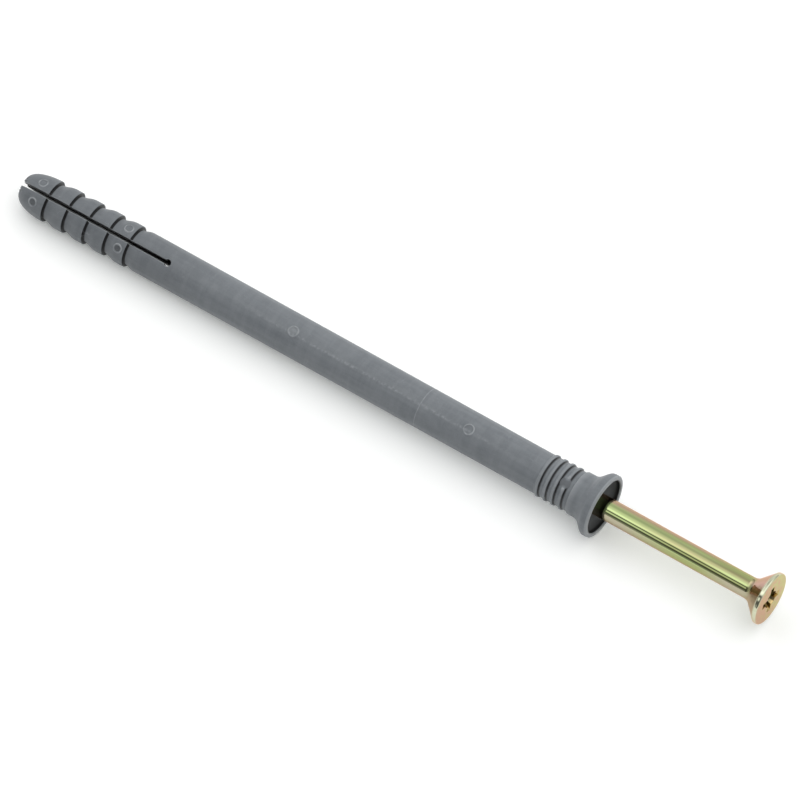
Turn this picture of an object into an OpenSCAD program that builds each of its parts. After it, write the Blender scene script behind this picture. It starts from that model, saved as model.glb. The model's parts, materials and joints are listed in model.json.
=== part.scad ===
// Hammer fixing plug: a moulded sleeve with a split, barbed expansion end, and the
// countersunk drive nail that is set in it and spreads its legs when it is driven home.
// The plug lies along X: the collar's rim plane is at x = 0, centred on the axis, the
// nail's head is towards +X and the sleeve's tip is towards -X. All sizes are in millimetres.

/* [Sleeve] */
// Length of the sleeve from its rim to its tip
sleeve_len = 160; // [110:1:240]
// Diameter of the plain shank, which is the drill size
shank_d = 10; // [9:0.1:12]
// Radial room between the nail's thread and the bore
bore_gap = 0.2; // [0.05:0.05:0.5]

/* [Expansion end] */
// Length of the slit from the tip to the middle of its round end
slit_len = 41; // [36:0.5:60]
// Width of the slit between the two legs
slit_w = 0.95; // [0.6:0.05:2]
// Diameter of the round end that stops the slit from tearing
slit_end_d = 1.7; // [1:0.1:2.6]
// Turn of the slit about the axis, from straight up towards the front, in degrees
slit_turn = 23; // [-90:1:90]
// Length of the rounded nose, from the tip to its lip
nose_len = 7.8; // [5:0.1:12]
// Radius of the blunt end of the nose
nose_end_r = 2.4; // [1.6:0.1:3]
// Number of barbs behind the nose
barb_count = 4; // [2:1:5]
// Distance from one lip to the next
barb_pitch = 5.65; // [4:0.05:6]
// Height of a lip above the shank
barb_rise = 0.2; // [0.05:0.05:0.25]
// Depth of the groove behind a lip
barb_step = 0.75; // [0.2:0.05:0.9]
// Length of the groove's floor
barb_floor = 0.3; // [0.1:0.1:0.6]
// Length of the ramp from the groove up to the next lip's height
barb_ramp = 3.3; // [1.5:0.1:3.3]
// Length of the ramp from the last groove back up to the shank
barb_runout = 2.4; // [1:0.1:5]
// Diameter of the narrow bore between the legs
pinch_d = 2.6; // [2:0.1:3]
// Length over which the bore narrows behind the slit's end
pinch_len = 16; // [8:0.5:24]

/* [Ring ribs] */
// Number of ring ribs below the collar
rib_count = 4; // [2:1:6]
// Distance from one rib to the next
rib_pitch = 2.1; // [1.8:0.05:3]
// Height of a rib above the shank
rib_rise = 0.35; // [0.1:0.05:0.5]
// Length of a rib's lead-in on the tip side
rib_lead = 0.4; // [0.2:0.05:0.7]
// Length of a rib's flat crest
rib_land = 0.45; // [0.3:0.05:0.85]
// Length of a rib's steep side towards the collar
rib_drop = 0.2; // [0.1:0.05:0.25]
// Plain gap between the last rib and the neck
rib_to_neck = 1.5; // [0.8:0.1:3]

/* [Collar] */
// Height of the neck above the shank
neck_rise = 0.4; // [0.1:0.05:0.8]
// Length of the neck
neck_len = 2.9; // [1:0.1:5]
// Angle of the collar's underside to the axis, in degrees
flare_angle = 45; // [35:1:55]
// Radius that rounds the flare into the rim
flare_round = 1.5; // [0.6:0.1:1.8]
// Length of the rim's straight side
rim_land = 1.2; // [0.8:0.1:3]
// Radius on the rim's outer edge
rim_round = 0.6; // [0.2:0.1:0.7]
// Width of the rim round the mouth
rim_w = 1.15; // [1:0.05:2.5]

/* [Nail] */
// Diameter of the nail's plain shank
nail_d = 5.4; // [4.6:0.1:6]
// Height of the thread's crest above the plain shank
thread_rise = 0.2; // [0.1:0.05:0.3]
// Length of the threaded stretch above the point
thread_len = 62; // [30:1:75]
// Length of the nail's point
point_len = 8; // [4:0.5:12]
// Radius of the point's blunt end
point_r = 0.5; // [0.2:0.1:1]
// Distance from the set nail's point to the slit's round end
point_gap = 4.3; // [3:0.1:12]

/* [Nail head] */
// Diameter of the countersunk head
head_d = 13.1; // [11.5:0.1:15]
// Thickness of the head's straight edge
head_land = 1; // [0.5:0.1:1.5]
// Radius on the head's top edge
head_round = 0.4; // [0.1:0.05:0.45]
// Radius of the hollow fillet under the head
head_fillet = 2.5; // [0.8:0.1:3]
// Half angle of the countersunk head and of its seat, in degrees
seat_angle = 45; // [40:1:50]
// Room between the driven head and its seat in the mouth
seat_gap = 0.25; // [0.1:0.05:0.5]
// Diameter of the cross recess at the top of the head
recess_d = 7; // [5:0.1:8]
// Depth of the cross recess
recess_depth = 3.4; // [2:0.1:4]
// Diameter of the recess's round middle at the top of the head
recess_core_d = 4.2; // [3.4:0.1:4.8]
// Diameter of the cross recess at its floor
recess_floor_d = 2.6; // [1.6:0.1:3.4]
// Width of the recess's four wings
recess_wing = 1.5; // [1:0.1:2]
// Turn of the recess about the axis, from level towards the top, in degrees
recess_turn = -16; // [-45:1:45]

/* [Hidden] */
$fn = 96;

sleeve_grey = [0.44, 0.46, 0.48];
zinc_yellow = [0.62, 0.66, 0.46];

// Straight pieces along one rounded stretch of a section
arc_steps = 8;
// How far a cutting body reaches past what it cuts
cut_over = 1;

shank_r = shank_d / 2;
nail_r = nail_d / 2;
thread_r = nail_r + thread_rise;
bore_r = thread_r + bore_gap;
pinch_r = pinch_d / 2;
lip_r = shank_r + barb_rise;
root_r = lip_r - barb_step;
rib_r = shank_r + rib_rise;
neck_r = shank_r + neck_rise;
head_r = head_d / 2;
mouth_r = head_r + seat_gap;
collar_r = mouth_r + rim_w;

// Places along the axis, from the rim plane
tip_x = -sleeve_len;
slit_end_x = tip_x + slit_len;
nose_lip_x = tip_x + nose_len;
last_lip_x = nose_lip_x + barb_count * barb_pitch;
flare_top_x = -rim_land - flare_round * sin(flare_angle);
flare_top_r = collar_r - flare_round * (1 - cos(flare_angle));
neck_end_x = flare_top_x - (flare_top_r - neck_r) / tan(flare_angle);
neck_start_x = neck_end_x - neck_len;
last_rib_x = neck_start_x - rib_to_neck;
// The mouth's straight land and its seat stay one gap away from the driven head
mouth_land = head_land + seat_gap * tan(seat_angle / 2);
mouth_floor_x = -mouth_land - (mouth_r - bore_r) / tan(seat_angle);

// The driven nail ends level with the sleeve's tip and flush with its rim
nail_len = sleeve_len;
point_x = slit_end_x + point_gap;
head_top_x = point_x + nail_len;
head_under_x = head_top_x - head_land;
head_root_x = head_under_x - (head_r - nail_r) / tan(seat_angle);
fillet_x = head_root_x - head_fillet * tan(seat_angle / 2);
thread_start_x = point_x + point_len;
thread_end_x = thread_start_x + thread_len;

// Section points are [radius, x]. A round stretch is an arc about [radius, x].
function arc(center_r, center_x, radius, from, to) =
    [for (i = [0 : arc_steps])
        let (a = from + (to - from) * i / arc_steps)
        [center_r + radius * cos(a), center_x + radius * sin(a)]];

// A quarter of an ellipse, which rises steeply from one end and levels off at the other
function quarter_ellipse(from_r, from_x, to_r, to_x) =
    [for (i = [0 : arc_steps])
        let (a = 90 * i / arc_steps)
        [from_r + (to_r - from_r) * sin(a), to_x - (to_x - from_x) * cos(a)]];

// A ramp that eases in at its foot and out at its top
function ramp(from_r, from_x, to_r, to_x) =
    [for (i = [0 : arc_steps])
        let (share = i / arc_steps)
        [from_r + (to_r - from_r) * (1 - cos(180 * share)) / 2, from_x + (to_x - from_x) * share]];

// The groove behind the lip at lip_x, and the ramp that rises out of it to a height
function groove(lip_x, to_r, ramp_len) = concat(
    [[root_r, lip_x]],
    ramp(root_r, lip_x + barb_floor, to_r, lip_x + barb_floor + ramp_len)
);

// One barb: it rises out of the groove behind the lip before it and runs level to its own lip
function barb(i) = concat(
    groove(nose_lip_x + i * barb_pitch, lip_r, barb_ramp),
    [[lip_r, nose_lip_x + (i + 1) * barb_pitch]]
);

// One ring rib, whose steep side ends at end_x
function rib(end_x) = [
    [shank_r, end_x - rib_drop - rib_land - rib_lead],
    [rib_r, end_x - rib_drop - rib_land],
    [rib_r, end_x - rib_drop],
    [shank_r, end_x]
];

function barbs() = [for (i = [0 : barb_count - 1]) each barb(i)];

function ribs() = [for (i = [rib_count - 1 : -1 : 0]) each rib(last_rib_x - i * rib_pitch)];

function sleeve_outside() = concat(
    quarter_ellipse(nose_end_r, tip_x, lip_r, nose_lip_x),
    barbs(),
    groove(last_lip_x, shank_r, barb_runout),
    ribs(),
    [[shank_r, neck_start_x], [neck_r, neck_start_x], [neck_r, neck_end_x]],
    arc(collar_r - flare_round, -rim_land, flare_round, -flare_angle, 0),
    arc(collar_r - rim_round, -rim_round, rim_round, 0, 90)
);

function sleeve_inside() = [
    [mouth_r, 0],
    [mouth_r, -mouth_land],
    [bore_r, mouth_floor_x],
    [bore_r, slit_end_x],
    [pinch_r, slit_end_x - pinch_len],
    [pinch_r, tip_x]
];

function nail_section() = concat(
    [[0, point_x], [point_r, point_x], [thread_r, thread_start_x], [thread_r, thread_end_x]],
    [[nail_r, thread_end_x + thread_rise]],
    arc(nail_r + head_fillet, fillet_x, head_fillet, 180, 180 - seat_angle),
    [[head_r, head_under_x]],
    arc(head_r - head_round, head_top_x - head_round, head_round, 0, 90),
    [[0, head_top_x]]
);

// Turns a section of [radius, x] points about the X axis
module turned(points) {
    rotate([0, 90, 0])
        rotate_extrude()
            polygon(points);
}

// The slit runs through both walls and ends in a round hole
module slit() {
    translate([tip_x - cut_over, -slit_w / 2, -lip_r - cut_over])
        cube([slit_len + cut_over, slit_w, 2 * (lip_r + cut_over)]);
    translate([slit_end_x, 0, -lip_r - cut_over])
        cylinder(d = slit_end_d, h = 2 * (lip_r + cut_over));
}

// A round middle and four wings that all narrow towards the floor of the recess
module cross_recess() {
    translate([head_top_x, 0, 0])
        rotate([recess_turn, 0, 0])
            rotate([0, -90, 0])
                union() {
                    cylinder(d1 = recess_core_d, d2 = recess_floor_d, h = recess_depth);
                    intersection() {
                        cylinder(d1 = recess_d, d2 = recess_floor_d, h = recess_depth);
                        union() {
                            translate([-recess_d / 2, -recess_wing / 2, 0])
                                cube([recess_d, recess_wing, recess_depth]);
                            translate([-recess_wing / 2, -recess_d / 2, 0])
                                cube([recess_wing, recess_d, recess_depth]);
                        }
                    }
                }
}

module sleeve() {
    color(sleeve_grey)
        difference() {
            turned(concat(sleeve_outside(), sleeve_inside()));
            rotate([slit_turn, 0, 0])
                slit();
        }
}

module nail() {
    color(zinc_yellow)
        difference() {
            turned(nail_section());
            cross_recess();
        }
}

sleeve();
nail();
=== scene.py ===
"""Hammer fixing plug: a split nylon sleeve with a yellow-zinc drive nail set in it.

The plug lies along X, as in the frame: the sleeve's tip is towards -X and the nail's head
is towards +X. Sizes are in millimetres and angles in degrees; meshes are made in metres.
"""

import json
import math

import bmesh
import bpy
import numpy as np
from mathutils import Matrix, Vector, noise


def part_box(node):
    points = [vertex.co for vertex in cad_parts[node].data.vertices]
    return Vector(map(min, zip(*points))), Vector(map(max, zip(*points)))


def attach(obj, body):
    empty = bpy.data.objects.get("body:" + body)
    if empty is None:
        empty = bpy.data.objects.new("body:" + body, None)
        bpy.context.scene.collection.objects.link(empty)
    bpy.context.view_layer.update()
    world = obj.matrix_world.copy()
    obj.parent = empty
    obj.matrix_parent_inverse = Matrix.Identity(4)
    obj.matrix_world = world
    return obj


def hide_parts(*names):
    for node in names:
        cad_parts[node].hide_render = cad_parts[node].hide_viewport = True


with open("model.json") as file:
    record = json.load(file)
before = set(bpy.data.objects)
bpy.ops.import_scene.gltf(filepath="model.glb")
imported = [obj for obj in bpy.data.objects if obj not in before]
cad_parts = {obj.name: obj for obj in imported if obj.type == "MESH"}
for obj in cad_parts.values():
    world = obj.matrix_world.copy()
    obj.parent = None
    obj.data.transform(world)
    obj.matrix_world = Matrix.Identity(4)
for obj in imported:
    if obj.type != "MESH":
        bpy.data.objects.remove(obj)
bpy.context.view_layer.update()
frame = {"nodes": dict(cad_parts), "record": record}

MM = 0.001
# Where the round of a 45 degree corner starts, as a share of its radius
CORNER_45 = math.tan(math.radians(22.5))


# Sizes that the frame gives

def widest(node):
    """How far a CAD node reaches from the plug's axis."""
    return max(math.hypot(v.co.y, v.co.z) for v in frame["nodes"][node].data.vertices) / MM


sleeve_low, sleeve_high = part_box("sleeve")
nail_low, nail_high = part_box("nail")
shank_mount = next(m for m in frame["record"]["mounts"] if m["name"] == "shank")

TIP_X = sleeve_low.x / MM
RIM_X = sleeve_high.x / MM
COLLAR_R = widest("sleeve")
SHANK_R = shank_mount["dims"]["r_mm"]
POINT_X = nail_low.x / MM
HEAD_TOP_X = nail_high.x / MM
HEAD_R = widest("nail")


# Sleeve: expansion end, ring ribs and collar

SLIT_W = 0.95
SLIT_TURN = 23
SLIT_END_X = TIP_X + 41
SLIT_END_R = 0.85
SLIT_EASE = 0.16
# Turn at which the slit's round end has parted from its straight walls
SLIT_END_TURN = -54

NOSE_LEN = 7.8
NOSE_END_R = 2.4
BARBS = 4
BARB_PITCH = 5.65
LIP_R = SHANK_R + 0.2
ROOT_R = LIP_R - 0.75
LIP_DRAFT = 0.08
LIP_EASE = 0.1
ROOT_EASE = 0.06
BARB_FLOOR = 0.3
BARB_RAMP = 3.3
RUNOUT = 2.4
# The torn gate leaves the nose's end slightly ragged
TORN_DEPTH = 1.1
TORN_REACH = 1.3
# Each roughness of the tear: how fine it is round the axis, how strong, and where it starts
TORN_ROUGHNESS = [
    (6, 1.0, 5.0),
    (15, 0.4, 2.0),
]

PINCH_R = 1.3
PINCH_LEN = 16
PINCH_EASE = 2
BORE_R = 3.1

RIBS = 4
RIB_PITCH = 2.1
RIB_R = SHANK_R + 0.35
RIB_LEAD = 0.4
RIB_LAND = 0.45
RIB_DROP = 0.2
RIB_EASE = 0.1
RIB_TO_NECK = 1.5

NECK_R = SHANK_R + 0.4
NECK_LEN = 2.9
FLARE_ROUND = 1.5
FLARE_HOLLOW = 1.1
RIM_LAND = 1.2
RIM_ROUND = 0.6
RIM_W = 1.15
MOUTH_R = COLLAR_R - RIM_W
MOUTH_EASE = 0.16
SEAT_FOOT_EASE = 0.4
SEAT_TOP_EASE = 0.3

# The flare stands at 45 degrees, so it runs as far along the axis as it rises
flare_corner_x = RIM_X - RIM_LAND - FLARE_ROUND * CORNER_45
neck_end_x = flare_corner_x - (COLLAR_R - NECK_R)
neck_start_x = neck_end_x - NECK_LEN
last_rib_x = neck_start_x - RIB_TO_NECK

# Thin raised rings that ejector pins leave: place along the axis, turn from the slit, radius,
# how much painted shade the sunk middle takes (light where it is below 0), and the side that
# is lightest, rubbed and with painted highlight, as a turn from the axis
EJECTOR_RINGS = [
    (-155.0, 27, 1.0, 0.05, -70),
    (-155.0, -34, 1.0, 0.1, 150),
    (-131.4, 31, 1.0, 0.04, -80),
    (-131.4, -31, 1.0, 0.11, 60),
    (-84.3, 2, 1.2, -0.06, 70),
    (-35.9, 0, 1.2, 0.0, 10),
]
RING_RISE = 0.17
RING_BREADTH = 0.31
RING_SUNK = 0.08
# The rings' raised band is lighter: rubbed, with painted highlight, most on its lightest side
RING_TONE = 0.36
RING_LEAST_RUB_AND_HIGHLIGHT = 0.35
# One more pin stands under the ring ribs, and leaves a flat round spot across two of them
SPOT_X = -9.4
SPOT_REACH = 1.35
SPOT_RISE = 0.14
SPOT_EDGE = 0.12
# Painted shade inside the flat spot, and painted highlight at its two ends
SPOT_TONE = -0.1
SPOT_END_TONE = 0.3
SPOT_END_BREADTH = 0.8
# The mould's halves meet in a fine ridge on both sides and in a ring round the shank
PARTING_RISE = 0.05
PARTING_BREADTH = 0.09
WITNESS_X = -49.0
WITNESS_RISE = 0.03
WITNESS_BREADTH = 0.2
# The witness ring is lighter: rubbed, with painted highlight
WITNESS_TONE = 0.1

# Mesh spacing
STATION_GAP = 0.02
SHANK_STEP = 2.0
RING_STEP = 0.13
RING_MARGIN = 0.4
WALL_STEPS = 3
EASE_PLACES = (0.33, 0.67, 1.0)
RELIEF_SAMPLES = 19
# Points closer together than this become one, and shorter edges than this are taken out
WELD_GAP = 0.002
LEAST_EDGE = 0.001
# Places from a rib's foot, in the groove behind it
RIB_GROOVE_PLACES = (0.1, 0.22, 0.4, 0.7)

# Relief that the colour follows: rubbed and painted highlight where it is above 0, painted shade
# where it is below
EDGE_SPAN = 0.35
LIP_TONE = 0.15
BARB_SHADE_SPAN = 0.45
RIB_SHADE_SPAN = 0.9
RIB_SHADE_SHARE = 0.8
RIB_EDGE_TONE = 1.5
# Raised moulding marks are lighter by their rise, unevenly: rubbed, with painted highlight
RAISED_MARK_TONE = 2.0
MARK_UNEVENNESS = 1.2
# Painted light on the rim and the mouth's edge; painted shade in the bore and the slit's walls,
# less on the seat
RIM_TONE = 0.16
MOUTH_EDGE_TONE = 0.25
INNER_TONE = -0.17
SEAT_TONE = -0.1


# Nail

NAIL_R = 2.7
NAIL_COLUMNS = 96
THREAD_R = 2.9
THREAD_ROOT_R = 2.5
THREAD_PITCH = 1.6
THREAD_LEN = 62
THREAD_FADE = 2.5
THREAD_START_EASE = 1.0
THREAD_END_EASE = 0.1
THREAD_STEPS = 12
# Over one pitch the thread rises slowly towards the head, has a crest and falls steeply
TOOTH_PLACES = (0, 0.15, 0.78, 0.9, 1)
TOOTH_HEIGHTS = (0, 0, 1, 1, 0)
POINT_LEN = 8
POINT_R = 0.5
HEAD_LAND = 1.0
HEAD_ROUND = 0.4
HEAD_EDGE_EASE = 0.2
HEAD_FILLET = 2.5
RECESS_REACH = 3.5
RECESS_CORE = 2.1
RECESS_FLOOR_REACH = 1.3
RECESS_FLOOR_CORE = 1.28
RECESS_WING = 0.75
RECESS_DEPTH = 3.4
RECESS_CHAMFER = 0.12
RECESS_TURN = -16

thread_start_x = POINT_X + POINT_LEN
thread_end_x = thread_start_x + THREAD_LEN
head_under_x = HEAD_TOP_X - HEAD_LAND
head_root_x = head_under_x - (HEAD_R - NAIL_R)
# The seat in the mouth stays one gap away from the driven head
seat_top_x = RIM_X - HEAD_LAND - (MOUTH_R - HEAD_R) * CORNER_45
seat_foot_x = seat_top_x - (MOUTH_R - BORE_R)


# Outlines: points (x, r) along the axis

def eased(corners, steps=4):
    """The outline through corners (x, r, ease), each rounded over its ease length."""
    line = [corners[0][:2]]
    for before, corner, after in zip(corners, corners[1:], corners[2:]):
        at = np.array(corner[:2])
        if not corner[2]:
            line.append(at)
            continue
        back = np.array(before[:2]) - at
        on = np.array(after[:2]) - at
        start = at + back * min(0.5, corner[2] / np.linalg.norm(back))
        end = at + on * min(0.5, corner[2] / np.linalg.norm(on))
        for t in np.linspace(0, 1, steps + 1):
            line.append((1 - t) ** 2 * start + 2 * t * (1 - t) * at + t ** 2 * end)
    line.append(corners[-1][:2])
    return np.array(line)


def swell(x0, r0, x1, r1, steps=16):
    """Corners of the nose: steep at its end (x0, r0), and level at its lip (x1, r1)."""
    turns = np.radians(np.linspace(0, 90, steps + 1))
    corners = [(x1 - (x1 - x0) * math.cos(a), r0 + (r1 - r0) * math.sin(a), 0) for a in turns]
    corners[-1] = (x1, r1, LIP_EASE)
    return corners


def slope(x0, r0, x1, r1, steps=10):
    """Corners of a slope that eases in at its foot (x0, r0) and out at its top (x1, r1)."""
    corners = []
    for t in np.linspace(0, 1, steps + 1):
        r = r0 + (r1 - r0) * (1 - math.cos(math.pi * t)) / 2
        corners.append((x0 + (x1 - x0) * t, r, 0))
    return corners


def lip_x(i):
    return TIP_X + NOSE_LEN + i * BARB_PITCH


def groove(i, top_r, length):
    """Corners of the groove behind lip i and of the slope that rises out of it."""
    foot = lip_x(i) + BARB_FLOOR
    return [(lip_x(i), ROOT_R, ROOT_EASE)] + slope(foot, ROOT_R, foot + length, top_r)


def rib(end_x):
    """Corners of one ring rib, whose steep side ends at end_x."""
    return [
        (end_x - RIB_DROP - RIB_LAND - RIB_LEAD, SHANK_R, RIB_EASE),
        (end_x - RIB_DROP - RIB_LAND, RIB_R, RIB_EASE),
        (end_x - RIB_DROP, RIB_R, RIB_EASE),
        (end_x, SHANK_R, RIB_EASE / 2),
    ]


def sleeve_outside():
    corners = swell(TIP_X, NOSE_END_R, lip_x(0) - LIP_DRAFT, LIP_R)
    for i in range(BARBS):
        corners += groove(i, LIP_R, BARB_RAMP)
        corners.append((lip_x(i + 1) - LIP_DRAFT, LIP_R, LIP_EASE))
    corners += groove(BARBS, SHANK_R, RUNOUT)
    for i in reversed(range(RIBS)):
        corners += rib(last_rib_x - i * RIB_PITCH)
    corners += [
        (neck_start_x - RIB_DROP / 2, SHANK_R, RIB_EASE / 2),
        (neck_start_x + RIB_DROP / 2, NECK_R, RIB_EASE),
        (neck_end_x, NECK_R, FLARE_HOLLOW),
        (flare_corner_x, COLLAR_R, FLARE_ROUND * CORNER_45),
        (RIM_X, COLLAR_R, RIM_ROUND),
        (RIM_X, MOUTH_R, 0),
    ]
    # The rim's flat face is a cap, so the outline stops where its round ends
    return eased(corners, steps=5)[:-1]


def sleeve_inside():
    return eased([
        (TIP_X, PINCH_R, 0),
        (SLIT_END_X - PINCH_LEN, PINCH_R, PINCH_EASE),
        (SLIT_END_X, BORE_R, PINCH_EASE),
        (seat_foot_x, BORE_R, SEAT_FOOT_EASE),
        (seat_top_x, MOUTH_R, SEAT_TOP_EASE),
        (RIM_X - MOUTH_EASE, MOUTH_R, MOUTH_EASE / 2),
        (RIM_X, MOUTH_R + MOUTH_EASE, 0),
    ])


outside = sleeve_outside()
inside = sleeve_inside()


def outside_r(x):
    return float(np.interp(x, outside[:, 0], outside[:, 1]))


def inside_r(x):
    return float(np.interp(x, inside[:, 0], inside[:, 1]))


# Sleeve mesh

def bell(distance, breadth):
    """1 at no distance, falling smoothly to nothing over about the breadth."""
    return math.exp(-(distance / breadth) ** 2 * 4)


def half_gap(x):
    """Half the slit's width at x: even along it, a circle round its end, and then nothing."""
    past = x - SLIT_END_X
    if past > SLIT_END_R - 1e-6:
        return 0.0
    straight = SLIT_W / 2 if past < 0 else 0.0
    bulge = math.sqrt(max(0.0, SLIT_END_R ** 2 - past ** 2))
    return max(straight, bulge)


def moulding_marks(x, turn, r):
    """How far the mould's marks stand out at x, at that turn from the slit, and their tone: rubbed
    and painted highlight where raised, painted shade in the rings' sunk middles.
    """
    witness = bell(x - WITNESS_X, WITNESS_BREADTH)
    rise = PARTING_RISE * bell(r * (abs(turn) - math.pi / 2), PARTING_BREADTH)
    rise += WITNESS_RISE * witness
    tone = RAISED_MARK_TONE * rise + WITNESS_TONE * witness
    for ring_x, ring_turn, ring_r, core_tone, lightest_side in EJECTOR_RINGS:
        along, around = x - ring_x, r * (turn - math.radians(ring_turn))
        away = math.hypot(along, around)
        if away > ring_r + RING_MARGIN:
            continue
        band = bell(away - ring_r, RING_BREADTH)
        from_side = math.atan2(around, along) - math.radians(lightest_side)
        rub_and_highlight = RING_LEAST_RUB_AND_HIGHLIGHT + (1 - RING_LEAST_RUB_AND_HIGHLIGHT) * (1 + math.cos(from_side)) / 2
        rise += RING_RISE * band
        tone += RING_TONE * band * rub_and_highlight
        # Painted shade in the ring's sunk middle
        if away < ring_r:
            rise -= RING_SUNK * (1 - band)
            tone -= core_tone * (1 - band)
    return rise, tone


def spot_share(x, turn):
    """How much of the flat spot across the ribs is at x, at that turn from the slit."""
    away = math.hypot(x - SPOT_X, SHANK_R * turn)
    return float(np.interp(away, (SPOT_REACH - SPOT_EDGE, SPOT_REACH + SPOT_EDGE), (1, 0)))


def surface_tone(x, turn, relief, mark_tone, spot):
    """What the colour follows outside: the relief's rubbing, painted highlight and painted shade,
    the mould's marks, and the flat spot with painted shade inside and painted highlight at its
    ends.
    """
    tone = relief * (1 - spot) + SPOT_TONE * spot
    uneven = 1 + MARK_UNEVENNESS * noise.noise(Vector((x, SHANK_R * turn, 0.0)))
    tone += mark_tone * uneven if mark_tone > 0 else mark_tone
    from_spot_end = math.hypot(x - SPOT_X, SHANK_R * abs(turn) - SPOT_REACH)
    return tone + SPOT_END_TONE * bell(from_spot_end, SPOT_END_BREADTH)


def above(x, start, end):
    """How far the outside at x stands above the stretch beside it, from start to end."""
    around = [outside_r(x + away) for away in np.linspace(start, end, RELIEF_SAMPLES)]
    return outside_r(x) - sum(around) / len(around)


def relief_at(x):
    """The outside's tone at x from its relief: its edges lighter, rubbed and with painted
    highlight, and painted shade at the foot of each step that faces the collar.

    The nose, the flare and the rim have no such steps."""
    # The rim's round and face take painted light
    if x > RIM_X - RIM_ROUND:
        return RIM_TONE
    if x < lip_x(0) - EDGE_SPAN or x > neck_end_x:
        return 0.0
    # Edges are lighter: rubbed, with painted highlight
    edge = max(0.0, above(x, -EDGE_SPAN, EDGE_SPAN))
    # Painted shade lies at the foot of each step that faces the collar, where the outside towards
    # the tip stands higher
    if x < SLIT_END_X:
        return LIP_TONE * edge + min(0.0, above(x, -BARB_SHADE_SPAN, 0.0))
    return RIB_EDGE_TONE * edge + RIB_SHADE_SHARE * min(0.0, above(x, -RIB_SHADE_SPAN, 0.0))


def bore_tone(x):
    """What the colour follows inside: painted shade in the bore, less of it on the seat, and
    painted light at the edge.
    """
    if x > RIM_X - 2 * MOUTH_EASE:
        return MOUTH_EDGE_TONE
    places = (seat_foot_x, (seat_foot_x + seat_top_x) / 2, seat_top_x)
    return float(np.interp(x, places, (INNER_TONE, SEAT_TONE, INNER_TONE)))


def torn(x, turn):
    """How far the ragged end of the nose is set back."""
    near_end = max(0.0, 1 - (x - TIP_X) / TORN_REACH)
    rough = 0.0
    for fineness, strength, start in TORN_ROUGHNESS:
        place = Vector((fineness * math.cos(turn), fineness * math.sin(turn), start))
        rough += strength * noise.noise(place)
    return TORN_DEPTH * near_end * max(0.0, rough)


def sleeve_stations():
    """Places along the axis where the sleeve's mesh has a section."""
    rings = [
        np.arange(x - r - RING_MARGIN, x + r + RING_MARGIN, RING_STEP)
        for x, r in [(ring[0], ring[2]) for ring in EJECTOR_RINGS] + [(SPOT_X, SPOT_REACH)]
    ]
    slit_end = SLIT_END_X + SLIT_END_R * np.sin(np.radians(np.linspace(SLIT_END_TURN, 90, 15)))
    shank = np.arange(lip_x(BARBS) + BARB_FLOOR + RUNOUT, last_rib_x, SHANK_STEP)
    witness = WITNESS_X + WITNESS_BREADTH * np.linspace(-1.5, 1.5, 9)
    grooves = [last_rib_x - i * RIB_PITCH + np.array(RIB_GROOVE_PLACES) for i in range(RIBS)]
    lines = [outside[:, 0], inside[:, 0], slit_end, shank, witness, *grooves, *rings]
    every = np.sort(np.concatenate(lines))
    kept = [every[0]]
    for x in every[1:]:
        if x - kept[-1] > STATION_GAP:
            kept.append(x)
    kept[-1] = RIM_X
    return [float(x) for x in kept]


# Turns from the slit, over half the sleeve: close together where the rings are, and at the seam
outer_turns = np.radians(np.concatenate([
    np.linspace(0, 48, 33),
    np.linspace(52, 88, 10),
    [88.8, 89.4, 90, 90.6, 91.2],
    np.linspace(92, 180, 24),
]))
inner_turns = np.radians(np.linspace(0, 180, 25))


def leg_section(x, side):
    """The outline of one leg at x, as (across the slit, along the slit, tone).

    It runs over the outside, in through the slit's far wall, back along the bore and out again.
    Past the slit's end the walls have no width, and the two legs make one ring."""
    gap = half_gap(x)
    ease = min(SLIT_EASE, gap / 2)
    r_out, r_in = outside_r(x), inside_r(x)
    relief = relief_at(x)
    first = math.asin((gap + ease) / r_out)
    edge = math.sqrt(r_out ** 2 - gap ** 2)
    bore_edge = math.sqrt(r_in ** 2 - gap ** 2)
    start = math.asin(gap / r_in)

    over = []
    for turn in outer_turns:
        turn = first + (math.pi - 2 * first) * turn / math.pi
        rise, mark_tone = moulding_marks(x, side * turn, r_out)
        spot = spot_share(x, side * turn)
        r = r_out + rise + (SHANK_R + SPOT_RISE - r_out) * spot
        tone = surface_tone(x, side * turn, relief, mark_tone, spot)
        over.append((r * math.sin(turn), r * math.cos(turn), tone))
    wall = []
    on_top = np.array((r_out * math.sin(first), r_out * math.cos(first)))
    corner = np.array((gap, edge))
    in_wall = np.array((gap, edge - ease))
    # The slit's edge is lighter as far as it is eased: rubbed, with painted highlight
    edge_tone = ease if gap else relief
    for t in EASE_PLACES:
        a, b = (1 - t) ** 2 * on_top + 2 * t * (1 - t) * corner + t ** 2 * in_wall
        wall.append((a, b, edge_tone))
    # The slit's walls take painted shade
    for t in np.linspace(0, 1, WALL_STEPS + 1)[1:-1]:
        wall.append((gap, in_wall[1] + (bore_edge - in_wall[1]) * t, INNER_TONE))
    bore = []
    inner_tone = bore_tone(x)
    for turn in inner_turns:
        turn = start + (math.pi - 2 * start) * turn / math.pi
        bore.append((r_in * math.sin(turn), r_in * math.cos(turn), inner_tone))
    far_wall = [(a, -b, tone) for a, b, tone in wall]
    return over + far_wall + bore[::-1] + wall[::-1]


def fill_rim(bm, outer, inner):
    """Fills half of the rim's flat face, which has more columns outside than inside.

    Both edges are walked by their share of the half turn."""
    i = j = 0
    while i < len(outer) - 1 or j < len(inner) - 1:
        next_out = (i + 1) / (len(outer) - 1)
        next_in = (j + 1) / (len(inner) - 1)
        if j == len(inner) - 1 or (i < len(outer) - 1 and next_out <= next_in):
            bm.faces.new((outer[i], outer[i + 1], inner[j]))
            i += 1
        else:
            bm.faces.new((outer[i], inner[j + 1], inner[j]))
            j += 1


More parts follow.
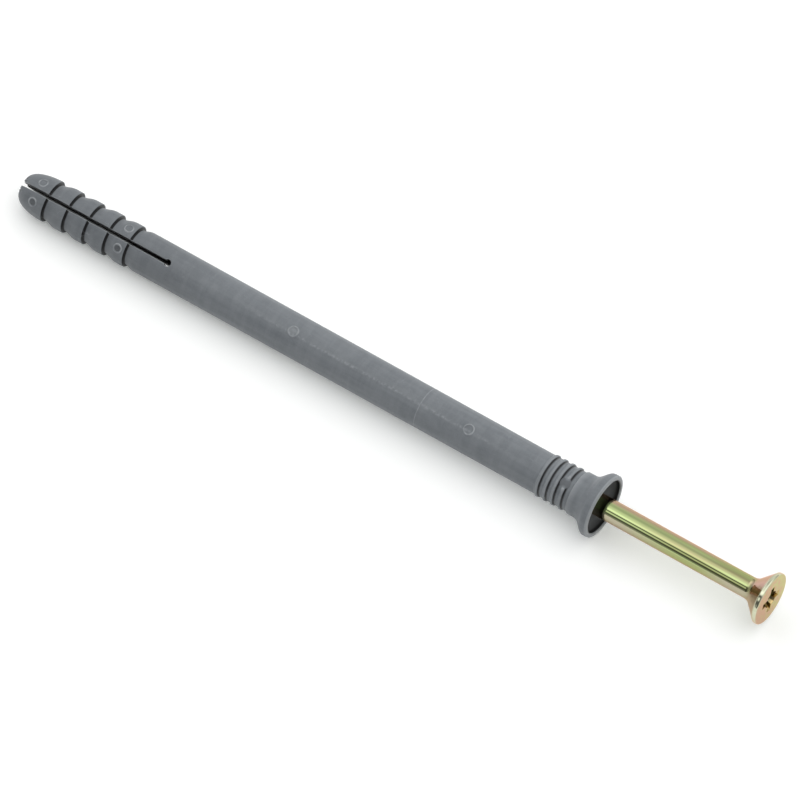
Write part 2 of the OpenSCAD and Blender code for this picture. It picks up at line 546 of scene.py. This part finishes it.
def sleeve_mesh():
    bm = bmesh.new()
    # The relief layer holds the colour's tone: rubbed and painted highlight above 0, painted shade
    # below
    relief_layer = bm.verts.layers.float.new("relief")
    cos_turn = math.cos(math.radians(SLIT_TURN))
    sin_turn = math.sin(math.radians(SLIT_TURN))
    xs = sleeve_stations()
    parted = [half_gap(x) > 0 for x in xs]
    outer_count = len(outer_turns)
    inner_count = len(inner_turns)
    rim_loops = []
    for side in (1, -1):
        rows = []
        for x in xs:
            row = []
            for across, along, relief in leg_section(x, side):
                across *= side
                set_back = torn(x, math.atan2(across, along))
                y = across * cos_turn - along * sin_turn
                z = across * sin_turn + along * cos_turn
                vert = bm.verts.new((MM * (x + set_back), MM * y, MM * z))
                vert[relief_layer] = relief
                row.append(vert)
            rows.append(row)
        count = len(rows[0])
        wall_count = (count - outer_count - inner_count) // 2
        surface = set(range(outer_count - 1))
        surface |= set(range(outer_count + wall_count, outer_count + wall_count + inner_count - 1))
        for k, (row, after) in enumerate(zip(rows, rows[1:])):
            for i in range(count):
                if i in surface or parted[k]:
                    j = (i + 1) % count
                    bm.faces.new((row[i], row[j], after[j], after[i]))
        bm.faces.new(rows[0])
        rim_loops.append((
            rows[-1][:outer_count],
            rows[-1][outer_count + wall_count:outer_count + wall_count + inner_count][::-1],
        ))
    for outer, inner in rim_loops:
        fill_rim(bm, outer, inner)
    bmesh.ops.remove_doubles(bm, verts=bm.verts, dist=MM * WELD_GAP)
    bmesh.ops.delete(bm, geom=[v for v in bm.verts if not v.link_faces], context="VERTS")
    bmesh.ops.dissolve_degenerate(bm, edges=bm.edges, dist=MM * LEAST_EDGE)
    bmesh.ops.recalc_face_normals(bm, faces=bm.faces)
    return bm


# Nail mesh

def nail_outline():
    corners = [
        (POINT_X, POINT_R, 0),
        (thread_start_x, THREAD_R, THREAD_START_EASE),
        (thread_end_x, THREAD_R, THREAD_END_EASE),
        (thread_end_x + THREAD_R - NAIL_R, NAIL_R, THREAD_END_EASE),
        (head_root_x, NAIL_R, HEAD_FILLET * CORNER_45),
        (head_under_x, HEAD_R, HEAD_EDGE_EASE),
        (HEAD_TOP_X, HEAD_R, HEAD_ROUND),
        (HEAD_TOP_X, 0, 0),
    ]
    return eased(corners, steps=8)[:-1]


def tooth(place):
    """The thread's height at a place that counts in pitches."""
    return float(np.interp(place % 1, TOOTH_PLACES, TOOTH_HEIGHTS))


def thread_cut(x, turn):
    """How deep the thread is cut at x, at that turn about the axis. It fades in at both ends."""
    inset = min(x - thread_start_x + THREAD_FADE, thread_end_x - x) / THREAD_FADE
    if inset <= 0:
        return 0.0
    place = x / THREAD_PITCH - turn / math.tau
    return (THREAD_R - THREAD_ROOT_R) * min(1.0, inset) * (1 - tooth(place))


def cross(reach, wing, core):
    """The recess's outline at one depth, seen down the axis: a round middle and four wings."""
    end = math.asin(wing / reach)
    foot = math.asin(wing / core)
    quarter = [(reach, a) for a in np.linspace(-end, end, 5)]
    quarter += [(core, a) for a in np.linspace(foot, math.pi / 2 - foot, 5)]
    points = []
    for k in range(4):
        for r, a in quarter:
            turn = a + k * math.pi / 2 + math.radians(RECESS_TURN)
            points.append((r * math.cos(turn), r * math.sin(turn)))
    return points


def recess_loops(bm):
    """Adds the recess down to its floor, and gives its outlines from the head's top down."""
    top = [size + RECESS_CHAMFER for size in (RECESS_REACH, RECESS_WING, RECESS_CORE)]
    levels = [(0.0, *top)]
    for share in (0.0, 0.5, 1.0):
        reach = RECESS_REACH + (RECESS_FLOOR_REACH - RECESS_REACH) * share
        core = RECESS_CORE + (RECESS_FLOOR_CORE - RECESS_CORE) * share
        levels.append((max(RECESS_CHAMFER, RECESS_DEPTH * share), reach, RECESS_WING, core))
    loops = []
    for depth, reach, wing, core in levels:
        x = HEAD_TOP_X - depth
        points = cross(reach, wing, core)
        loops.append([bm.verts.new((MM * x, MM * y, MM * z)) for y, z in points])
    for loop, below in zip(loops, loops[1:]):
        for i in range(len(loop)):
            j = (i + 1) % len(loop)
            bm.faces.new((loop[i], loop[j], below[j], below[i]))
    bm.faces.new(loops[-1])
    return loops


def nail_mesh():
    bm = bmesh.new()
    outline = nail_outline()
    thread = np.arange(thread_start_x - THREAD_FADE, thread_end_x, THREAD_PITCH / THREAD_STEPS)
    xs = np.unique(np.concatenate([outline[:, 0], thread]).round(4))
    rows = []
    for x in xs:
        r = float(np.interp(x, outline[:, 0], outline[:, 1]))
        row = []
        for i in range(NAIL_COLUMNS):
            turn = math.tau * i / NAIL_COLUMNS
            at = r - min(thread_cut(x, turn), r - POINT_R)
            row.append(bm.verts.new((MM * x, MM * at * math.cos(turn), MM * at * math.sin(turn))))
        rows.append(row)
    for row, after in zip(rows, rows[1:]):
        for i in range(NAIL_COLUMNS):
            j = (i + 1) % NAIL_COLUMNS
            bm.faces.new((row[i], row[j], after[j], after[i]))
    bm.faces.new(rows[0])

    # The head's flat top is filled round the recess
    rings = [rows[-1], recess_loops(bm)[0]]
    edges = [bm.edges.get((ring[i - 1], ring[i])) for ring in rings for i in range(len(ring))]
    bmesh.ops.triangle_fill(bm, use_beauty=True, edges=edges)
    bmesh.ops.recalc_face_normals(bm, faces=bm.faces)
    return bm


def piece(name, bm, material, sharp_above):
    """An object from a mesh in the row frame, smooth but for edges sharper than that angle."""
    mesh = bpy.data.meshes.new(name)
    bm.to_mesh(mesh)
    bm.free()
    mesh.shade_smooth()
    mesh.set_sharp_from_angle(angle=math.radians(sharp_above))
    mesh.materials.append(material)
    made = bpy.data.objects.new(name, mesh)
    bpy.context.scene.collection.objects.link(made)
    weighted = made.modifiers.new("even_shading", "WEIGHTED_NORMAL")
    weighted.keep_sharp = True
    return made


# Shader nodes

class Shading:
    """Adds nodes to one tree. A socket is fed a number, a colour or another socket."""

    def __init__(self, tree):
        self.tree = tree

    def feed(self, socket, value):
        if isinstance(value, bpy.types.NodeSocket):
            self.tree.links.new(value, socket)
        else:
            socket.default_value = value

    def add(self, kind, inputs, **settings):
        node = self.tree.nodes.new("ShaderNode" + kind)
        for name, value in settings.items():
            setattr(node, name, value)
        for name, value in inputs.items():
            self.feed(node.inputs[name], value)
        return node

    def math(self, operation, *values):
        node = self.add("Math", dict(enumerate(values)), operation=operation)
        return node.outputs[0]

    def scaled(self, vector, scale):
        node = self.add("Mapping", {"Vector": vector, "Scale": scale})
        return node.outputs["Vector"]

    def noise(self, vector, scale, detail=2.0, roughness=0.5):
        inputs = {"Vector": vector, "Scale": scale, "Detail": detail, "Roughness": roughness}
        return self.add("TexNoise", inputs).outputs["Fac"]

    def remap(self, value, low, high, to_low=0.0, to_high=1.0):
        inputs = {"Value": value, "From Min": low, "From Max": high}
        inputs |= {"To Min": to_low, "To Max": to_high}
        return self.add("MapRange", inputs).outputs["Result"]

    def mix(self, share, first, second, blend="MIX"):
        node = self.add("Mix", {0: share, 6: first, 7: second}, data_type="RGBA", blend_type=blend)
        return node.outputs[2]

    def ramp(self, share, stops):
        """Colours by share: stops are (place, colour)."""
        node = self.add("ValToRGB", {"Fac": share})
        elements = node.color_ramp.elements
        while len(elements) < len(stops):
            elements.new(1.0)
        for element, (place, colour) in zip(elements, stops):
            element.position = place
            element.color = (*colour, 1.0)
        return node.outputs["Color"]

    def group(self, tree, inputs):
        node = self.add("Group", {}, node_tree=tree)
        for name, value in inputs.items():
            self.feed(node.inputs[name], value)
        return node.outputs


def new_group(name, inputs, outputs):
    """An empty node group with these named sockets, its shading and its two ends."""
    tree = bpy.data.node_groups.new(name, "ShaderNodeTree")
    for socket, kind in inputs:
        tree.interface.new_socket(socket, in_out="INPUT", socket_type="NodeSocket" + kind)
    for socket, kind in outputs:
        tree.interface.new_socket(socket, in_out="OUTPUT", socket_type="NodeSocket" + kind)
    start = tree.nodes.new("NodeGroupInput").outputs
    end = tree.nodes.new("NodeGroupOutput").inputs
    return Shading(tree), start, end


def surface_grain_group():
    """Fine grain for a bump, and the cloudy mottling that goes with it."""
    sh, start, end = new_group(
        "surface_grain",
        [("Vector", "Vector"), ("Grain Scale", "Float"), ("Cloud Scale", "Float")],
        [("Grain", "Float"), ("Cloud", "Float")],
    )
    fine = sh.noise(start["Vector"], start["Grain Scale"], detail=3.0, roughness=0.6)
    cloud = sh.noise(start["Vector"], start["Cloud Scale"], detail=4.0, roughness=0.55)
    sh.feed(end["Grain"], fine)
    sh.feed(end["Cloud"], sh.remap(cloud, 0.3, 0.7))
    return sh.tree


def handling_scuffs_group():
    """Thin stray scratches from loose handling in a box, gathered in patches."""
    sh, start, end = new_group(
        "handling_scuffs",
        [("Vector", "Vector"), ("Scale", "Float"), ("Amount", "Float")],
        [("Mask", "Float")],
    )
    lines = sh.noise(start["Vector"], start["Scale"], detail=1.0)
    near_middle = sh.math("ABSOLUTE", sh.math("SUBTRACT", lines, 0.5))
    thin = sh.remap(near_middle, 0.0, 0.012, 1.0, 0.0)
    patches = sh.noise(start["Vector"], sh.math("MULTIPLY", start["Scale"], 0.6), detail=2.0)
    gathered = sh.remap(patches, 0.55, 0.7)
    sh.feed(end["Mask"], sh.math("MULTIPLY", sh.math("MULTIPLY", thin, gathered), start["Amount"]))
    return sh.tree


surface_grain = surface_grain_group()
handling_scuffs = handling_scuffs_group()


def new_material(name):
    """A material with a bare Principled shader, its shading, and its object coordinates in mm."""
    material = bpy.data.materials.new(name)
    material.use_nodes = True
    material.node_tree.nodes.clear()
    sh = Shading(material.node_tree)
    shader = sh.add("BsdfPrincipled", {})
    sh.add("OutputMaterial", {"Surface": shader.outputs["BSDF"]})
    place = sh.add("TexCoord", {}).outputs["Object"]
    return material, sh, shader.inputs, sh.scaled(place, (1 / MM, 1 / MM, 1 / MM))


NYLON_DARK = (0.145, 0.16, 0.175, 1)
NYLON_LIGHT = (0.177, 0.193, 0.209, 1)
# Rubbed nylon, and also the colour of painted highlights on edges, marks and the shank's light
# line
NYLON_RUBBED_AND_HIGHLIGHT = (0.35, 0.37, 0.385, 1)
NYLON_SHADED = (0.009, 0.009, 0.009, 1)
NYLON_ROUGHNESS = (0.38, 0.48)
# The relief over which the nylon turns lighter (rubbed, with painted highlight) and darker
# (painted shade), and the most that it does
CREST_RELIEF = (0.02, 0.2)
CREST_SHARE = 0.75
GROOVE_RELIEF = (-0.06, -0.17)
GROOVE_SHARE = 0.97
# Painted shade: the legs are a little darker than the shank
LEGS_TO_SHANK = (SLIT_END_X - 2, SLIT_END_X + 12)
LEGS_SHADE = 0.14
# A painted highlight along the shank, a speckled light line, as a turn from straight up towards
# the front
PAINTED_HIGHLIGHT_TURN = 27
PAINTED_HIGHLIGHT_BREADTH = 6
PAINTED_HIGHLIGHT_START_X = -102
PAINTED_HIGHLIGHT_END_X = -22
PAINTED_HIGHLIGHT_FADE = 14


def nylon_material():
    material, sh, shader, place = new_material("grey_nylon")
    grain = sh.group(surface_grain, {"Vector": place, "Grain Scale": 3.5, "Cloud Scale": 0.35})
    scuffs = sh.group(handling_scuffs, {"Vector": place, "Scale": 0.5, "Amount": 0.35})
    relief = sh.add("Attribute", {}, attribute_name="relief").outputs["Fac"]
    # Rubbed edges with painted highlight
    crest_rub_and_highlight = sh.remap(relief, *CREST_RELIEF, 0.0, CREST_SHARE)
    # Painted shade in grooves behind steps, in the bore, the slit and the sunk marks
    groove = sh.remap(relief, *GROOVE_RELIEF, 0.0, GROOVE_SHARE)
    # Flow lines of the moulding run along the sleeve, and fainter ones round it
    along = sh.noise(sh.scaled(place, (0.06, 1.0, 1.0)), 0.9, detail=3.0)
    around = sh.noise(sh.scaled(place, (1.0, 0.12, 0.12)), 0.8, detail=3.0)
    along = sh.remap(along, 0.35, 0.7, 0.0, 0.12)
    around = sh.remap(around, 0.4, 0.7, 0.0, 0.1)
    flow = sh.math("ADD", along, around)
    at = sh.add("SeparateXYZ", {"Vector": place}).outputs
    legs = sh.remap(at["X"], *LEGS_TO_SHANK, LEGS_SHADE, 0.0)
    # A painted highlight in specks along the shank, on the line of the ejector rings
    turn = sh.math("ARCTAN2", sh.math("MULTIPLY", at["Y"], -1.0), at["Z"])
    from_line = sh.math("ABSOLUTE", sh.math("SUBTRACT", turn, math.radians(PAINTED_HIGHLIGHT_TURN)))
    line = sh.remap(from_line, 0.0, math.radians(PAINTED_HIGHLIGHT_BREADTH), 1.0, 0.0)
    specks = sh.noise(place, 1.4, detail=3.0, roughness=0.6)
    specks = sh.remap(specks, 0.45, 0.65, 0.05, 0.55)
    fade_in = sh.remap(at["X"], PAINTED_HIGHLIGHT_START_X, PAINTED_HIGHLIGHT_START_X + PAINTED_HIGHLIGHT_FADE)
    fade_out = sh.remap(at["X"], PAINTED_HIGHLIGHT_END_X - PAINTED_HIGHLIGHT_FADE, PAINTED_HIGHLIGHT_END_X, 1.0, 0.0)
    line = sh.math("MULTIPLY", line, sh.math("MULTIPLY", fade_in, fade_out))
    line = sh.math("MULTIPLY", line, specks)

    colour = sh.mix(grain["Cloud"], NYLON_DARK, NYLON_LIGHT)
    colour = sh.mix(sh.remap(grain["Grain"], 0.3, 0.7, 0.0, 0.1), colour, NYLON_RUBBED_AND_HIGHLIGHT)
    colour = sh.mix(flow, colour, NYLON_RUBBED_AND_HIGHLIGHT)
    colour = sh.mix(legs, colour, NYLON_SHADED)
    colour = sh.mix(line, colour, NYLON_RUBBED_AND_HIGHLIGHT)
    colour = sh.mix(crest_rub_and_highlight, colour, NYLON_RUBBED_AND_HIGHLIGHT)
    colour = sh.mix(groove, colour, NYLON_SHADED)
    colour = sh.mix(scuffs["Mask"], colour, NYLON_RUBBED_AND_HIGHLIGHT)
    sh.feed(shader["Base Color"], colour)
    sh.feed(shader["Roughness"], sh.remap(grain["Cloud"], 0.0, 1.0, *NYLON_ROUGHNESS))
    bump = sh.add("Bump", {"Height": grain["Grain"], "Strength": 0.25, "Distance": 0.03 * MM})
    sh.feed(shader["Normal"], bump.outputs["Normal"])
    shader["Specular IOR Level"].default_value = 0.25
    return material


ZINC_GREEN = (0.47, 0.57, 0.26)
ZINC_MOSS = (0.35, 0.39, 0.165)
ZINC_PEACH = (0.53, 0.48, 0.26)
ZINC_ROSE = (0.46, 0.33, 0.23)
ZINC_PINK = (0.56, 0.36, 0.33)
ZINC_BLUSH = (0.54, 0.4, 0.29)
ZINC_TAN = (0.38, 0.33, 0.24)
ZINC_SILVER = (0.46, 0.41, 0.31)
ZINC_PALE = (0.62, 0.63, 0.48)
ZINC_BROWN = (0.18, 0.13, 0.09)
# Painted glints and painted shade for the recess
ZINC_GOLD = (0.62, 0.44, 0.2)
ZINC_SHADE = (0.1, 0.07, 0.045)
ZINC_EDGE_TINT = (1.0, 0.75, 0.68, 1)
STEEL_BARE = (0.62, 0.6, 0.55, 1)
ZINC_ROUGHNESS = (0.02, 0.06)
# The streaks are partly the passivated film's own colour and partly painted reflection and painted
# shade: turn from straight up towards the front, and colour
STREAKS_LOW = [
    (-180, ZINC_GREEN),
    (-150, ZINC_ROSE),
    (-120, ZINC_MOSS),
    (-92, ZINC_TAN),
    (-70, ZINC_ROSE),
    (-20, ZINC_ROSE),
    (-4, ZINC_GREEN),
    (50, ZINC_GREEN),
    (62, ZINC_SILVER),
    (78, ZINC_SILVER),
    (100, ZINC_TAN),
    (125, ZINC_ROSE),
    (152, ZINC_PEACH),
    (180, ZINC_GREEN),
]
STREAKS_MIDDLE = [
    (-180, ZINC_MOSS),
    (-140, ZINC_PEACH),
    (-100, ZINC_ROSE),
    (-28, ZINC_ROSE),
    (-14, ZINC_MOSS),
    (-2, ZINC_GREEN),
    (18, ZINC_PEACH),
    (30, ZINC_MOSS),
    (50, ZINC_MOSS),
    (60, ZINC_GREEN),
    (72, ZINC_MOSS),
    (92, ZINC_MOSS),
    (120, ZINC_ROSE),
    (155, ZINC_GREEN),
    (180, ZINC_MOSS),
]
STREAKS_HIGH = [
    (-180, ZINC_GREEN),
    (-110, ZINC_ROSE),
    (-58, ZINC_ROSE),
    (-40, ZINC_MOSS),
    (-8, ZINC_MOSS),
    (12, ZINC_PEACH),
    (24, ZINC_GREEN),
    (38, ZINC_MOSS),
    (52, ZINC_MOSS),
    (62, ZINC_SILVER),
    (120, ZINC_SILVER),
    (150, ZINC_MOSS),
    (180, ZINC_GREEN),
]
# The same round the cone under the head, with a painted dark reflection in brown across its front
STREAKS_HEAD = [
    (-180, ZINC_TAN),
    (-110, ZINC_MOSS),
    (-60, ZINC_ROSE),
    (-14, ZINC_ROSE),
    (8, ZINC_PINK),
    (26, ZINC_BROWN),
    (48, ZINC_BROWN),
    (66, ZINC_TAN),
    (120, ZINC_MOSS),
    (180, ZINC_TAN),
]


STREAK_WANDER = 0.025
# Places along the nail where one finish gives way to the next
LOW_TO_MIDDLE = (6.0, 20.0)
MIDDLE_TO_HIGH = (27.0, 35.0)
SHANK_TO_CONE = (head_root_x - 1.2, head_root_x + 0.8)
CONE_TO_EDGE = (head_under_x - 0.4, head_under_x + 0.1)
EDGE_TO_FACE = (HEAD_TOP_X - 0.12, HEAD_TOP_X - 0.02)
FACE_TO_RECESS = (HEAD_TOP_X - 0.01, HEAD_TOP_X - 0.03)
SHADE_TO_GLINT = (HEAD_TOP_X - 1.1, HEAD_TOP_X - 0.1)
# Places across the head's face: where the recess begins, and where its colour turns
FACE_TO_WINGS = (RECESS_REACH + 0.4, RECESS_REACH + 0.2)
BLUSH_TO_GREEN = (-3.0, 5.0)
FACE_MOTTLE = 7.0


def turn_share(turn):
    """Where a turn lies on a ramp that goes once round."""
    return (turn + 180) / 360


def by_turn(sh, share, streaks):
    return sh.ramp(share, [(turn_share(turn), colour) for turn, colour in streaks])


def zinc_material():
    material, sh, shader, place = new_material("yellow_zinc")
    drawn = sh.scaled(place, (0.03, 1.0, 1.0))
    tint = sh.noise(drawn, 0.42, detail=3.0, roughness=0.6)
    lines = sh.noise(sh.scaled(place, (0.02, 1.0, 1.0)), 5.0, detail=4.0, roughness=0.7)
    grain = sh.group(surface_grain, {"Vector": place, "Grain Scale": 6.0, "Cloud Scale": 0.9})
    scuffs = sh.group(handling_scuffs, {"Vector": drawn, "Scale": 0.9, "Amount": 0.3})

    at = sh.add("SeparateXYZ", {"Vector": place}).outputs
    turn = sh.math("ARCTAN2", sh.math("MULTIPLY", at["Y"], -1.0), at["Z"])
    wander = sh.remap(tint, 0.3, 0.7, -STREAK_WANDER, STREAK_WANDER)
    share = sh.math("ADD", sh.remap(turn, -math.pi, math.pi), wander)
    low = by_turn(sh, share, STREAKS_LOW)
    middle = by_turn(sh, share, STREAKS_MIDDLE)
    high = by_turn(sh, share, STREAKS_HIGH)
    cone = by_turn(sh, share, STREAKS_HEAD)
    colour = sh.mix(sh.remap(at["X"], *LOW_TO_MIDDLE), low, middle)
    colour = sh.mix(sh.remap(at["X"], *MIDDLE_TO_HIGH), colour, high)
    colour = sh.mix(sh.remap(at["X"], *SHANK_TO_CONE), colour, cone)
    # The head's edge, its top face and the recess are each their own
    squares = [sh.math("POWER", at[axis], 2.0) for axis in "YZ"]
    radius = sh.math("POWER", sh.math("ADD", *squares), 0.5)
    on_edge = sh.remap(at["X"], *CONE_TO_EDGE)
    colour = sh.mix(on_edge, colour, (*ZINC_PALE, 1))
    mottle = sh.remap(grain["Cloud"], 0.0, 1.0, -FACE_MOTTLE, FACE_MOTTLE)
    across = sh.math("ADD", at["Y"], mottle)
    face = sh.mix(sh.remap(across, *BLUSH_TO_GREEN), (*ZINC_BLUSH, 1), (*ZINC_GREEN, 1))
    colour = sh.mix(sh.remap(at["X"], *EDGE_TO_FACE), colour, face)
    # The recess takes painted shade deep down and painted gold glints near its top
    shallow = sh.remap(at["X"], *SHADE_TO_GLINT)
    recess_glints_and_shade = sh.mix(shallow, (*ZINC_SHADE, 1), (*ZINC_GOLD, 1))
    in_recess = sh.math("MULTIPLY", on_edge, sh.remap(radius, *FACE_TO_WINGS))
    below = sh.remap(at["X"], *FACE_TO_RECESS)
    colour = sh.mix(sh.math("MULTIPLY", in_recess, below), colour, recess_glints_and_shade)
    colour = sh.mix(sh.remap(lines, 0.35, 0.65, 0.0, 0.3), colour, (*ZINC_MOSS, 1))
    colour = sh.mix(scuffs["Mask"], colour, STEEL_BARE)
    sh.feed(shader["Base Color"], colour)
    sh.feed(shader["Roughness"], sh.remap(grain["Cloud"], 0.0, 1.0, *ZINC_ROUGHNESS))
    drawn_height = sh.math("MULTIPLY", lines, 0.7)
    grain_height = sh.math("MULTIPLY", grain["Grain"], 0.3)
    height = sh.math("ADD", drawn_height, grain_height)
    bump = sh.add("Bump", {"Height": height, "Strength": 0.18, "Distance": 0.02 * MM})
    sh.feed(shader["Normal"], bump.outputs["Normal"])
    shader["Metallic"].default_value = 1.0
    shader["Specular Tint"].default_value = ZINC_EDGE_TINT
    return material


sleeve_piece = piece("sleeve_moulding", sleeve_mesh(), nylon_material(), 40)
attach(sleeve_piece, "sleeve")
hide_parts("sleeve")

nail_piece = piece("drive_nail", nail_mesh(), zinc_material(), 35)
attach(nail_piece, "nail")
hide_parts("nail")


# Floor: the plug lies on its collar and on its nose, so the floor leans a little under it

FLOOR_SIZE = 6000
FLOOR_WHITE = (0.93, 0.93, 0.93, 1)
FLOOR_LIFT = 0.19
FLOOR_LIFT_TINT = (0.95, 1.0, 0.96, 1)
collar_rest_x = RIM_X - RIM_ROUND
nose_rest_x = lip_x(0) - LIP_DRAFT
floor_lean = math.atan((COLLAR_R - LIP_R) / (collar_rest_x - nose_rest_x))


def floor_material():
    """A white floor. What looks at it straight or in a reflection sees it a little lifted."""
    material, sh, shader, _ = new_material("studio_floor")
    shader["Base Color"].default_value = FLOOR_WHITE
    shader["Roughness"].default_value = 0.8
    shader["Specular IOR Level"].default_value = 0.1
    seen = sh.add("LightPath", {}).outputs
    looks = sh.math("MAXIMUM", seen["Is Camera Ray"], seen["Is Glossy Ray"])
    looks = sh.math("MAXIMUM", looks, seen["Is Transmission Ray"])
    shader["Emission Color"].default_value = FLOOR_LIFT_TINT
    sh.feed(shader["Emission Strength"], sh.math("MULTIPLY", looks, FLOOR_LIFT))
    return material


def add_floor():
    bm = bmesh.new()
    bmesh.ops.create_grid(bm, x_segments=1, y_segments=1, size=MM * FLOOR_SIZE / 2)
    mesh = bpy.data.meshes.new("studio_floor")
    bm.to_mesh(mesh)
    bm.free()
    mesh.materials.append(floor_material())
    floor = bpy.data.objects.new("studio_floor", mesh)
    bpy.context.scene.collection.objects.link(floor)
    floor.location = MM * collar_rest_x, 0, -MM * COLLAR_R
    floor.rotation_euler = 0, floor_lean, 0


add_floor()


# Light: a white tent, brightest above the plug, with a strip across it for the nail to mirror

# Turn from straight up towards the front, and how bright the tent is there
TENT_STOPS = [
    (-180, 0.8),
    (-95, 0.55),
    (-70, 0.65),
    (-50, 1.1),
    (-35, 1.48),
    (-10, 1.42),
    (12, 1.58),
    (27, 1.45),
    (38, 0.25),
    (92, 0.05),
    (100, 0.8),
    (180, 0.8),
]
# The strip is a bright panel with a thin dark line and a broader dark slot below it
STRIP_STOPS = [
    (-180, 0.8),
    (-95, 1.05),
    (-58, 0.97),
    (-45, 0.88),
    (-32, 0.68),
    (-19, 0.68),
    (-9, 0.95),
    (8, 1.2),
    (14, 1.35),
    (19, 1.7),
    (26, 1.7),
    (32, 1.3),
    (36, 0.2),
    (43, 0.2),
    (47, 1.15),
    (56, 1.15),
    (61, 0.15),
    (73, 0.13),
    (79, 0.42),
    (92, 0.5),
    (100, 0.8),
    (180, 0.8),
]
STRIP_X = -0.31
STRIP_REACH = 0.1
STRIP_SOFT = 0.08
# The tent's two ends are plain, and begin this far along X
TENT_END = (0.65, 0.85)
TENT_END_LEVEL = 0.75


def by_height(sh, share, stops):
    return sh.ramp(share, [(turn_share(turn), (level,) * 3) for turn, level in stops])


def add_tent():
    world = bpy.data.worlds.new("light_tent")
    bpy.context.scene.world = world
    world.use_nodes = True
    world.node_tree.nodes.clear()
    sh = Shading(world.node_tree)
    way = sh.add("SeparateXYZ", {"Vector": sh.add("TexCoord", {}).outputs["Generated"]}).outputs
    forward = sh.math("MULTIPLY", way["Y"], -1.0)
    share = sh.remap(sh.math("ARCTAN2", forward, way["Z"]), -math.pi, math.pi)
    wall = by_height(sh, share, TENT_STOPS)
    strip = by_height(sh, share, STRIP_STOPS)
    aside = sh.math("ABSOLUTE", sh.math("SUBTRACT", way["X"], STRIP_X))
    colour = sh.mix(sh.remap(aside, STRIP_REACH, STRIP_REACH + STRIP_SOFT), strip, wall)
    end = sh.remap(sh.math("ABSOLUTE", way["X"]), *TENT_END)
    colour = sh.mix(end, colour, (TENT_END_LEVEL, TENT_END_LEVEL, TENT_END_LEVEL, 1))
    light = sh.add("Background", {"Color": colour, "Strength": 1.0})
    sh.add("OutputWorld", {"Surface": light.outputs["Background"]})


add_tent()


# Camera: a long lens at the photograph's angle

PICTURE_PX = 800
SCALE_PX_PER_MM = 4.386
FOCAL_PX = 20000
AZIMUTH = 33.73
ELEVATION = 56.08
AIM = (-50.08, -8.98, 13.64)
FAR_LIMIT_M = 50


def add_camera():
    data = bpy.data.cameras.new("photo_camera")
    data.lens = data.sensor_width * FOCAL_PX / PICTURE_PX
    data.clip_end = FAR_LIMIT_M
    camera = bpy.data.objects.new("photo_camera", data)
    bpy.context.scene.collection.objects.link(camera)
    a, e = math.radians(AZIMUTH), math.radians(ELEVATION)
    back = Vector((math.sin(a) * math.cos(e), -math.cos(a) * math.cos(e), math.sin(e)))
    camera.location = MM * (Vector(AIM) + back * FOCAL_PX / SCALE_PX_PER_MM)
    camera.rotation_euler = (-back).to_track_quat("-Z", "Y").to_euler()
    bpy.context.scene.camera = camera


add_camera()
bpy.context.scene.view_settings.view_transform = "Standard"
